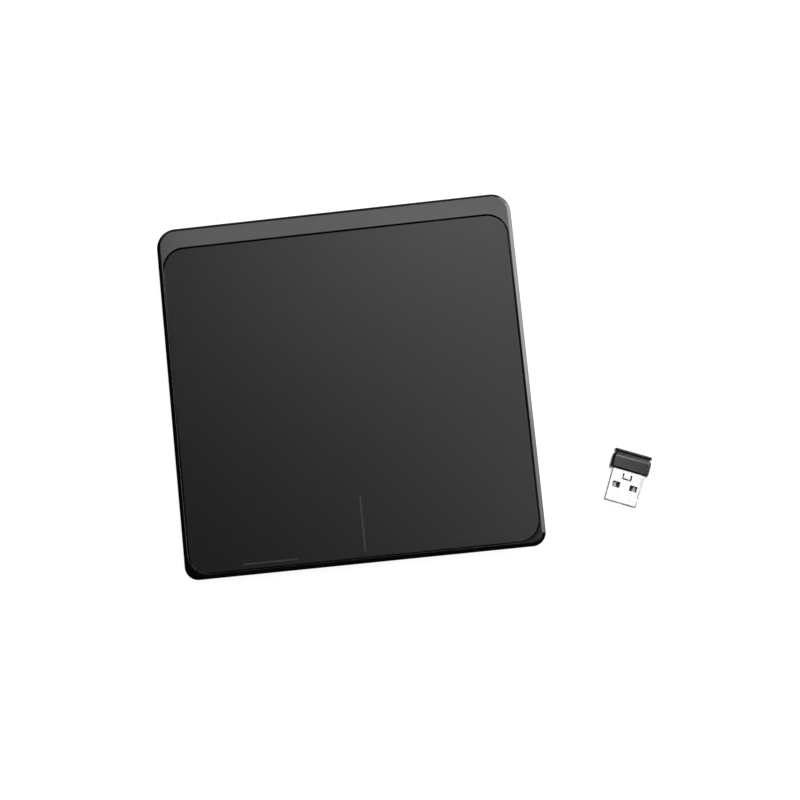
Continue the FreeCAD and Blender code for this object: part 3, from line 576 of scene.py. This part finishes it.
def lead_insulation():
    """PVC over stranded wire. The eye gets a black lead on the left and a red one on the right."""
    material, tree, place = new_finish("extruded_pvc")
    low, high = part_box("battery_leads")
    along = add_node(tree, "ShaderNodeSeparateXYZ", {0: place}).outputs["X"]
    right = add_node(tree, "ShaderNodeMath", {0: along, 1: (low.x + high.x) / 2}, operation="GREATER_THAN")
    skin = grain(tree, place, 0.4)
    return finish(material, tree, {
        "Base Color": tint(tree, right.outputs[0], "141414", "a5161a"),
        "Roughness": spread(tree, skin, 0.35, 0.45),
        "IOR": 1.53,
        "Normal": bump(tree, skin, 0.01),
    })


def guide_print():
    """Grey ceramic print on the glass. The eye gets pale lines that turn darker towards the right."""
    material, tree, place = new_finish("grey_ceramic_print")
    across = add_node(tree, "ShaderNodeSeparateXYZ", {0: place}).outputs["X"]
    # The print is darker towards the right: 0 on the left, 1 on the right
    rightwards = add_node(tree, "ShaderNodeMapRange", {0: across, 1: PRINT_DARKENS_FROM, 2: PRINT_DARKENS_TO})
    skin = grain(tree, place, 0.3, 3.0)
    return finish(material, tree, {
        "Base Color": tint(tree, rightwards.outputs[0], "3a3a3a", "161616"),
        "Roughness": spread(tree, skin, 0.36, 0.4),
        "IOR": 1.5,
    })


def dress(material, *names):
    """Gives the named pieces their finish."""
    for name in names:
        for place in nodes[name].material_slots:
            place.material = material


def dress_inner_parts():
    """The finishes of the pieces that keep their own shape."""
    dress(circuit_board(), "sensor_board", "main_board", "receiver_board")
    dress(adhesive_film(), "sheet_adhesive")
    dress(socket_plastic(), "sensor_socket", "board_socket")
    # The carrier's black is also painted shade in the groove, where its arms show through
    dress(carrier_metal_and_groove_shade(), "carrier_plate")
    dress(pin_steel(), "hinge_pins")
    dress(shield_steel(), "radio_shield", "power_switch_body")
    dress(chip_plastic(), "controller_chip", "receiver_chip", "switch_body_left", "switch_body_right")
    dress(small_parts(), "board_parts")
    dress(ribbon_film(), "ribbon_cable")
    dress(plunger_plastic(), "plunger_left", "plunger_right")
    dress(cell_sleeve(), "battery_left", "battery_right")
    dress(contact_steel(), "negative_contact", "positive_contact")
    dress(lead_insulation(), "battery_leads")
    dress(screw_steel(), "case_screws")
    dress(tongue_plastic(), "usb_tongue")
    dress(contact_plating(), "usb_contacts")


# Shapes


def rounded_loop(half, front, rear, front_corner, rear_corner, steps=ARC_STEPS):
    """Points round a rectangle with round corners, anticlockwise from its front left corner."""
    corners = (
        (-half + front_corner, front + front_corner, front_corner, 180),
        (half - front_corner, front + front_corner, front_corner, 270),
        (half - rear_corner, rear - rear_corner, rear_corner, 0),
        (-half + rear_corner, rear - rear_corner, rear_corner, 90),
    )
    loop = []
    for centre_u, centre_v, radius, start in corners:
        for step in range(steps + 1):
            angle = radians(start + 90 * step / steps)
            loop.append((centre_u + radius * cos(angle), centre_v + radius * sin(angle)))
    return loop


def quarter(width, drop):
    """A rounded edge from the wall up to the face, as (inset, height) pairs. The last keeps the face flat."""
    places = []
    for step in range(ROUND_STEPS + 1):
        angle = pi / 2 * step / ROUND_STEPS
        places.append((width * (1 - cos(angle)), drop * (sin(angle) - 1)))
    places.append((width + FLAT_EDGE, 0.0))
    return places


def rim_profile():
    """The frame's outer edge from the wall up to the face, as (inset, height) pairs.

    It is worked out from the face down: a soft round, a straight bevel, and a small round into the wall.
    """
    places = [(-FLAT_EDGE, 0.0)]
    for step in range(ROUND_STEPS + 1):
        angle = RIM_SLOPE * step / ROUND_STEPS
        places.append((RIM_INNER_ROUND * sin(angle), RIM_INNER_ROUND * (cos(angle) - 1)))
    out, down = places[-1]
    out += RIM_BEVEL * cos(RIM_SLOPE)
    down -= RIM_BEVEL * sin(RIM_SLOPE)
    for step in range(ROUND_STEPS + 1):
        angle = RIM_SLOPE + (pi / 2 - RIM_SLOPE) * step / ROUND_STEPS
        places.append((out + RIM_OUTER_ROUND * (sin(angle) - sin(RIM_SLOPE)),
                       down - RIM_OUTER_ROUND * (cos(RIM_SLOPE) - cos(angle))))
    width = places[-1][0]
    return [(width - out, height) for out, height in reversed(places)]


def ring_mesh(name, rings, closed):
    """Rings of equally many points joined by quads. Closed joins the last to the first, or both get caps."""
    mesh = bmesh.new()
    loops = [[mesh.verts.new(point) for point in ring] for ring in rings]
    pairs = list(zip(loops, loops[1:]))
    if closed:
        pairs.append((loops[-1], loops[0]))
    for low, high in pairs:
        for index in range(len(low)):
            after = (index + 1) % len(low)
            mesh.faces.new((low[index], low[after], high[after], high[index]))
    if not closed:
        mesh.faces.new(list(reversed(loops[0])))
        mesh.faces.new(loops[-1])
    bmesh.ops.recalc_face_normals(mesh, faces=mesh.faces)
    data = bpy.data.meshes.new(name)
    mesh.to_mesh(data)
    mesh.free()
    return link(bpy.data.objects.new(name, data))


def smooth(piece):
    """Smooth shading, except over sharp edges."""
    piece.data.shade_smooth()
    piece.data.set_sharp_from_angle(angle=SMOOTH_ANGLE)


class Slope:
    """The tilted frame of the pad's top, read from the touch sheet: u to the right, v to the back, h up.

    Its origin lies on the top face, in the middle of the pad's width and over the desk's middle line.
    """

    def __init__(self):
        faces = [face for face in nodes["touch_sheet"].data.polygons if face.normal.z > 0]
        top = max(faces, key=lambda face: face.area)
        self.up = top.normal.normalized()
        self.back = self.up.cross(Vector((1, 0, 0))).normalized()
        low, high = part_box("top_cover")
        middle = (low.x + high.x) / 2
        point = nodes["touch_sheet"].data.vertices[top.vertices[0]].co
        height = point.z + self.up.y / self.up.z * point.y
        self.origin = Vector((middle, 0, height))

    def place(self, u, v, h):
        """A point of the tilted frame in the scene."""
        return self.origin + Vector((u, 0, 0)) + self.back * v + self.up * h

    def extent(self, node):
        """A node's half width, front and rear, measured along the slope."""
        along = [(vertex.co - self.origin).dot(self.back) for vertex in nodes[node].data.vertices]
        low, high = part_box(node)
        return (high.x - low.x) / 2, min(along), max(along)


slope = Slope()


def slope_ring(half, front, rear, front_corner, rear_corner, inset, height,
               front_share=1.0, rear_share=1.0):
    """A round-cornered loop on the slope. The shares make the inset smaller at the front or at the rear."""
    loop = rounded_loop(half - inset, front + inset * front_share, rear - inset * rear_share,
                        max(front_corner - inset, SHARP), max(rear_corner - inset, SHARP))
    return [slope.place(u, v, height) for u, v in loop]


def touch_surface():
    """The touch sheet with its finely rounded edge."""
    half, front, rear = slope.extent("touch_sheet")
    outline = (half, front, rear, PLATE_CORNER, PLATE_CORNER)
    rings = [slope_ring(*outline, 0, -SHEET_THICKNESS)]
    rings += [slope_ring(*outline, inset, height) for inset, height in quarter(SHEET_EDGE, SHEET_EDGE)]
    piece = ring_mesh("touch_surface", rings, closed=False)
    smooth(piece)
    piece.data.materials.append(touch_glass())
    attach(piece, "touch_plate")
    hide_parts("touch_sheet")


def cover_frame():
    """The frame round the touch surface, as rings from its outer wall over the top and down inside.

    The rim, the lip of the opening, the step below it, the deck's edge and the skirt follow each other.
    """
    half, front, rear = slope.extent("top_cover")
    outer = (half, -rear, rear, FRONT_CORNER, REAR_CORNER)
    sheet_half, sheet_front, sheet_rear = slope.extent("touch_sheet")
    corner = PLATE_CORNER + GROOVE
    opening = (sheet_half + GROOVE, sheet_front - GROOVE, sheet_rear + GROOVE, corner, corner)
    step_half = half - SKIRT_INSET
    step_corner = PLATE_CORNER - SKIRT_INSET / 2
    step = (step_half, -rear + SKIRT_INSET, rear - DECK_REAR_INSET, step_corner, step_corner)
    skirt = (half - SKIRT_FACE, -rear + SKIRT_FACE, rear - SKIRT_FACE, SKIRT_FACE, SKIRT_FACE)
    rings = [slope_ring(*outer, 0, -RIM_HEIGHT)]
    rings += [slope_ring(*outer, inset, height, rear_share=REAR_RIM) for inset, height in rim_profile()]
    for inset, height in reversed(quarter(LIP_ROUND, LIP_ROUND)):
        rings.append(slope_ring(*opening, -inset, height, front_share=FRONT_LIP))
    rings.append(slope_ring(*opening, 0, -STEP_DROP))
    rings.append(slope_ring(*step, 0, -DECK_THICKNESS))
    rings.append(slope_ring(*step, 0, -RIM_HEIGHT - SKIRT_DEPTH))
    rings.append(slope_ring(*skirt, 0, -RIM_HEIGHT - SKIRT_DEPTH))
    rings.append(slope_ring(*skirt, 0, -RIM_HEIGHT))
    piece = ring_mesh("cover_frame", rings, closed=True)
    smooth(piece)
    piece.data.materials.append(cover_plastic())
    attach(piece, "housing")
    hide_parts("top_cover")


class Receiver:
    """The receiver's own frame: x across it, d from its blunt end towards the plug's tip, z from its axis."""

    def __init__(self):
        low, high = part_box("usb_shell")
        turn = Matrix.Rotation(RECEIVER_TURN, 3, "Z")
        self.across = turn @ Vector((1, 0, 0))
        self.along = turn @ Vector((0, -1, 0))
        middle = (low + high) / 2
        self.origin = middle - self.along * (SHELL_SEAT + PLUG_LENGTH) / 2
        self.middle_z = middle.z

    def place(self, x, d, z):
        """A point of the receiver's frame in the scene."""
        spot = self.origin + self.across * x + self.along * d
        return Vector((spot.x, spot.y, self.middle_z + z))

    def ring(self, half, height, corner, distance, inset=0.0):
        """A round-cornered loop round the plug's axis."""
        corner = max(corner - inset, SHARP)
        loop = rounded_loop(half - inset, inset - height / 2, height / 2 - inset, corner, corner)
        return [self.place(x, distance, z) for x, z in loop]


receiver = Receiver()


def receiver_body():
    """The cap with its round bead at the end, a groove behind the bead, and a hollow for the plug."""
    cap = (CAP_HALF, CAP_HEIGHT, CAP_CORNER)
    radius = BEAD_LENGTH / 2
    rings = []
    for step in range(2 * ROUND_STEPS + 1):
        angle = pi * step / (2 * ROUND_STEPS)
        rings.append(receiver.ring(*cap, radius * (1 - cos(angle)), BEAD_INSET + radius * (1 - sin(angle))))
    rings.append(receiver.ring(*cap, BEAD_LENGTH, NECK_INSET + BEAD_INSET))
    rings.append(receiver.ring(*cap, NECK_END, NECK_INSET))
    for along, height in quarter(CAP_REAR_EDGE, CAP_EDGE_DROP):
        rings.append(receiver.ring(*cap, NECK_END + along, -height))
    for along, height in reversed(quarter(CAP_FRONT_EDGE, CAP_EDGE_DROP)):
        rings.append(receiver.ring(*cap, CAP_LENGTH - along, -height))
    seat = (SHELL_HALF + SHELL_GAP, SHELL_HEIGHT + 2 * SHELL_GAP, SHELL_CORNER)
    room = (CAP_ROOM_HALF, SHELL_HEIGHT - 2 * SHELL_WALL, SHELL_WALL)
    rings.append(receiver.ring(*seat, CAP_LENGTH))
    rings.append(receiver.ring(*seat, SHELL_SEAT - SHELL_GAP))
    rings.append(receiver.ring(*room, SHELL_SEAT - SHELL_GAP))
    rings.append(receiver.ring(*room, CAP_END_WALL))
    piece = ring_mesh("receiver_body", rings, closed=False)
    smooth(piece)
    piece.data.materials.append(cap_plastic())
    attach(piece, "receiver")
    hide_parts("receiver_cap")


def shell_openings():
    """The openings in the shell as x range, distance range and whether the underside has them too.

    Two windows go through both sides. The three lines of the U-shaped cut are in the upper side alone.
    """
    middle = PLUG_LENGTH - WINDOW_FROM_END
    openings = []
    for x in (-WINDOW_SPREAD, WINDOW_SPREAD):
        openings.append((x - WINDOW_WIDTH / 2, x + WINDOW_WIDTH / 2,
                         middle - WINDOW_LENGTH / 2, middle + WINDOW_LENGTH / 2, True))
    near = PLUG_LENGTH - CUT_FROM_END - CUT_LENGTH / 2
    far = near + CUT_LENGTH
    half = CUT_WIDTH / 2
    openings.append((-half, half, far - CUT_LINE, far, False))
    openings.append((-half, CUT_LINE - half, near, far, False))
    openings.append((half - CUT_LINE, half, near, far, False))
    return openings


def plug_shell():
    """The folded shell as one sheet with its windows and U-shaped cut, thickened inwards.

    The loop round the shell has a point at each side of an opening, and the rings lie at their ends, so
    each opening is a whole number of faces that are left out.
    """
    openings = shell_openings()
    breaks = sorted({x for opening in openings for x in opening[:2]})
    distances = sorted({SHELL_SEAT, PLUG_LENGTH} | {d for opening in openings for d in opening[2:4]})
    top = SHELL_HEIGHT / 2
    corners = rounded_loop(SHELL_HALF, -top, top, SHELL_CORNER, SHELL_CORNER, ROUND_STEPS)
    count = ROUND_STEPS + 1
    loop = corners[:count] + [(x, -top) for x in breaks]
    loop += corners[count:3 * count] + [(x, top) for x in reversed(breaks)] + corners[3 * count:]
    mesh = bmesh.new()
    rings = [[mesh.verts.new(receiver.place(x, distance, z)) for x, z in loop] for distance in distances]
    for row, (near, far) in enumerate(zip(distances, distances[1:])):
        for index, (x, z) in enumerate(loop):
            after = (index + 1) % len(loop)
            middle_x = (x + loop[after][0]) / 2
            flat = z == loop[after][1] and abs(z) == top
            open_here = flat and any(
                x0 < middle_x < x1 and d0 < (near + far) / 2 < d1 and (z > 0 or both)
                for x0, x1, d0, d1, both in openings)
            if not open_here:
                ring, following = rings[row], rings[row + 1]
                mesh.faces.new((ring[index], ring[after], following[after], following[index]))
    bmesh.ops.recalc_face_normals(mesh, faces=mesh.faces)
    data = bpy.data.meshes.new("plug_shell")
    mesh.to_mesh(data)
    mesh.free()
    data.shade_smooth()
    piece = link(bpy.data.objects.new("plug_shell", data))
    sheet = piece.modifiers.new("sheet_thickness", "SOLIDIFY")
    sheet.thickness = SHELL_WALL
    sheet.offset = -1.0
    edges = piece.modifiers.new("stamped_edges", "BEVEL")
    edges.width = SHELL_EDGE
    edges.segments = EDGE_STEPS
    edges.limit_method = "ANGLE"
    edges.angle_limit = SHELL_EDGE_ANGLE
    edges.harden_normals = True
    piece.data.materials.append(plug_steel())
    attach(piece, "receiver")
    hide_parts("usb_shell")


def slab_nodes():
    """Round-cornered slabs on the points of a mesh: an outline, filled, raised, closed below and placed."""
    tree = bpy.data.node_groups.new("round_cornered_slabs", "GeometryNodeTree")
    tree.interface.new_socket("Points", in_out="INPUT", socket_type="NodeSocketGeometry")
    for name in ("Length", "Width", "Corner", "Height"):
        tree.interface.new_socket(name, in_out="INPUT", socket_type="NodeSocketFloat")
    tree.interface.new_socket("Material", in_out="INPUT", socket_type="NodeSocketMaterial")
    tree.interface.new_socket("Slabs", in_out="OUTPUT", socket_type="NodeSocketGeometry")
    given = add_node(tree, "NodeGroupInput").outputs
    outline = add_node(tree, "GeometryNodeCurvePrimitiveQuadrilateral",
                       {"Width": given["Length"], "Height": given["Width"]})
    rounded = add_node(tree, "GeometryNodeFilletCurve",
                       {"Curve": outline.outputs[0], "Radius": given["Corner"], "Count": ROUND_STEPS,
                        "Limit Radius": True}, mode="POLY")
    face = add_node(tree, "GeometryNodeFillCurve", {"Curve": rounded.outputs[0]}, mode="NGONS")
    raised = add_node(tree, "GeometryNodeExtrudeMesh",
                      {"Mesh": face.outputs[0], "Offset Scale": given["Height"], "Individual": False})
    below = add_node(tree, "GeometryNodeFlipFaces", {"Mesh": face.outputs[0]})
    both = add_node(tree, "GeometryNodeJoinGeometry", {"Geometry": raised.outputs[0]})
    tree.links.new(below.outputs[0], both.inputs[0])
    closed = add_node(tree, "GeometryNodeMergeByDistance", {"Geometry": both.outputs[0], "Distance": WELD})
    placed = add_node(tree, "GeometryNodeInstanceOnPoints",
                      {"Points": given["Points"], "Instance": closed.outputs[0]})
    real = add_node(tree, "GeometryNodeRealizeInstances", {"Geometry": placed.outputs[0]})
    painted = add_node(tree, "GeometryNodeSetMaterial",
                       {"Geometry": real.outputs[0], "Material": given["Material"]})
    add_node(tree, "NodeGroupOutput", {"Slabs": painted.outputs[0]})
    return tree


def slabs(tree, places, size, corner, height, material):
    """A mesh of equal slabs that stand on their places. Size, corner and places are in millimetres."""
    points = bpy.data.meshes.new("slab_places")
    points.from_pydata([(x * MM, y * MM, 0) for x, y in places], [], [])
    carrier = link(bpy.data.objects.new("slab_places", points))
    modifier = carrier.modifiers.new("slabs", "NODES")
    modifier.node_group = tree
    values = {"Length": size[0] * MM, "Width": size[1] * MM, "Corner": corner * MM, "Height": height,
              "Material": material}
    for socket in tree.interface.items_tree:
        if socket.name in values:
            modifier[socket.identifier] = values[socket.name]
    seen = carrier.evaluated_get(bpy.context.evaluated_depsgraph_get())
    made = bpy.data.meshes.new_from_object(seen)
    bpy.data.objects.remove(carrier)
    return made


def joined(name, meshes, matrix):
    """One piece from several meshes, put in its place with its faces turned outwards."""
    whole = bmesh.new()
    for mesh in meshes:
        whole.from_mesh(mesh)
    bmesh.ops.recalc_face_normals(whole, faces=whole.faces)
    data = bpy.data.meshes.new(name)
    whole.to_mesh(data)
    whole.free()
    data.transform(matrix)
    for material in meshes[0].materials:
        data.materials.append(material)
    return link(bpy.data.objects.new(name, data))


def rounded_edges(piece, width):
    """Small rounds on the sharp edges. The large faces keep their flat shading."""
    edges = piece.modifiers.new("rounded_edges", "BEVEL")
    edges.width = width
    edges.segments = EDGE_STEPS
    edges.limit_method = "ANGLE"
    edges.angle_limit = EDGE_ANGLE
    shading = piece.modifiers.new("flat_faces", "WEIGHTED_NORMAL")
    shading.keep_sharp = True


def guide_lines(tree):
    """Printed lines that show where the two buttons lie, a hair proud of the touch surface."""
    material = guide_print()
    meshes = [slabs(tree, [place], size, GUIDE_WIDTH / 2, GUIDE_SINK + GUIDE_PROUD, material)
              for place, size in (MIDDLE_GUIDE, LEFT_GUIDE, RIGHT_GUIDE)]
    base = slope.place(0, 0, -GUIDE_SINK)
    turn = Matrix((Vector((1, 0, 0)), slope.back, slope.up)).transposed().to_4x4()
    piece = joined("guide_lines", meshes, Matrix.Translation(base) @ turn)
    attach(piece, "touch_plate")


def foot_sizes():
    """Each foot's middle and size in millimetres, the front ones first, and the feet's height."""
    low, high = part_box("rubber_feet")
    middle = (low + high) / 2
    corners = {}
    for vertex in nodes["rubber_feet"].data.vertices:
        corner = (vertex.co.y > middle.y, vertex.co.x > middle.x)
        corners.setdefault(corner, []).append(vertex.co)
    feet = []
    for corner in sorted(corners):
        xs = [point.x * PER_MM for point in corners[corner]]
        ys = [point.y * PER_MM for point in corners[corner]]
        place = ((min(xs) + max(xs)) / 2, (min(ys) + max(ys)) / 2)
        feet.append((place, (max(xs) - min(xs), max(ys) - min(ys))))
    return feet, high.z


def rubber_feet(tree):
    """Four rubber feet with softly rounded edges. The two in front are alike, and so are the rear ones."""
    material = foot_rubber()
    feet, height = foot_sizes()
    meshes = [slabs(tree, [place for place, _ in pair], pair[0][1], FOOT_CORNER, height, material)
              for pair in (feet[:2], feet[2:])]
    piece = joined("soft_feet", meshes, Matrix.Identity(4))
    rounded_edges(piece, FOOT_EDGE)
    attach(piece, "housing")
    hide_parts("rubber_feet")


def blank_label(tree):
    """A plain label without words in its recess in the underside."""
    place = (slope.origin.x * PER_MM + LABEL_PLACE[0], LABEL_PLACE[1])
    mesh = slabs(tree, [place], LABEL_SIZE, LABEL_CORNER, LABEL_THICKNESS, label_film())
    piece = joined("blank_label", [mesh], Matrix.Translation((0, 0, LABEL_TOP - LABEL_THICKNESS)))
    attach(piece, "housing")


def eased_copy(node, name, body, material, edge):
    """A moulded part as the maker's model has it, with its sharp edges slightly rounded."""
    mesh = bmesh.new()
    mesh.from_mesh(nodes[node].data)
    bmesh.ops.remove_doubles(mesh, verts=mesh.verts, dist=WELD)
    bmesh.ops.dissolve_limit(mesh, angle_limit=ONE_FACE_ANGLE, verts=mesh.verts, edges=mesh.edges)
    data = bpy.data.meshes.new(name)
    mesh.to_mesh(data)
    mesh.free()
    data.materials.clear()
    data.materials.append(material)
    piece = link(bpy.data.objects.new(name, data))
    smooth(piece)
    rounded_edges(piece, edge)
    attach(piece, body)
    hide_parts(node)


def moulded_parts():
    """The bottom case, the battery door and the power knob."""
    case = case_plastic()
    eased_copy("bottom_case", "case_moulding", "housing", case, CASE_EDGE)
    eased_copy("battery_door", "door_moulding", "battery_door", case, DOOR_EDGE)
    eased_copy("power_knob", "knob_moulding", "power_knob", knob_plastic(), KNOB_EDGE)


add_camera()
add_world()
add_floor()
for softbox in SOFTBOXES:
    add_softbox(*softbox)
touch_surface()
cover_frame()
receiver_body()
plug_shell()
slab_tree = slab_nodes()
guide_lines(slab_tree)
rubber_feet(slab_tree)
blank_label(slab_tree)
moulded_parts()
dress_inner_parts()
bpy.context.scene.view_settings.view_transform = "Standard"
